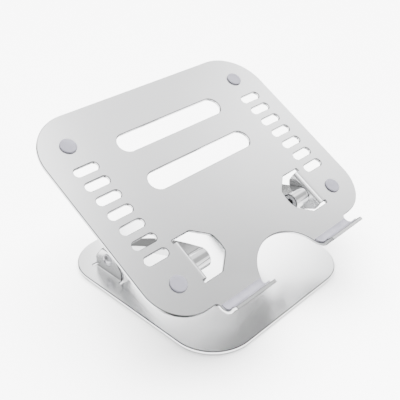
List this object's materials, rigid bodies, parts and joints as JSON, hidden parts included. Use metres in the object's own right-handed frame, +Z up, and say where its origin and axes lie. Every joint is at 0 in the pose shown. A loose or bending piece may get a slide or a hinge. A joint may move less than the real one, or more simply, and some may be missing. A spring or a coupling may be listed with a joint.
{
  "type": "laptop stand",
  "caption": "Folding aluminium laptop stand: a sheet base, two bowed arms on friction hinges and a vented sloping top plate with two padded front lips",
  "frame": {"origin": "the bottom centre of the bounding box: on the desk, under the middle of the stand", "axes": "+X to the user's right, along both hinge axes; +Y to the back, away from the user; +Z up, away from the desk"},
  "size_m": [0.25, 0.206, 0.1511],
  "materials": {
    "anodised": "satin anodised",
    "steel": "brushed",
    "silicone": "matt",
    "bearing": "matt"
  },
  "bodies": {
    "base": {"base_plate": "anodised", "foot_front_left": "silicone", "foot_front_right": "silicone", "foot_rear_left": "silicone", "foot_rear_right": "silicone", "lower_left_pin": "steel", "lower_right_pin": "steel", "lower_screws": "steel", "lower_screw_washers": "steel", "lower_thrust_washers": "bearing", "lower_spring_washers": "steel"},
    "arms": {"left_arm": "anodised", "right_arm": "anodised", "lower_bushes": "bearing", "upper_bushes": "bearing"},
    "rest": {"top_plate": "anodised", "pad_rear_left": "silicone", "pad_rear_right": "silicone", "pad_front_left": "silicone", "pad_front_right": "silicone", "left_lip_liner": "silicone", "right_lip_liner": "silicone", "upper_left_pin": "steel", "upper_right_pin": "steel", "upper_screws": "steel", "upper_screw_washers": "steel", "upper_thrust_washers": "bearing", "upper_spring_washers": "steel"}
  },
  "joints": [
    {"name": "arm_hinge", "type": "hinge", "parent": "base", "child": "arms", "pos_m": [0, 0.05429, 0.0185], "axis": [1, 0, 0], "range_deg": [-50, 8]},
    {"name": "plate_hinge", "type": "hinge", "parent": "arms", "child": "rest", "pos_m": [0, -0.04391, 0.06346], "axis": [1, 0, 0], "range_deg": [-25, 30]}
  ]
}
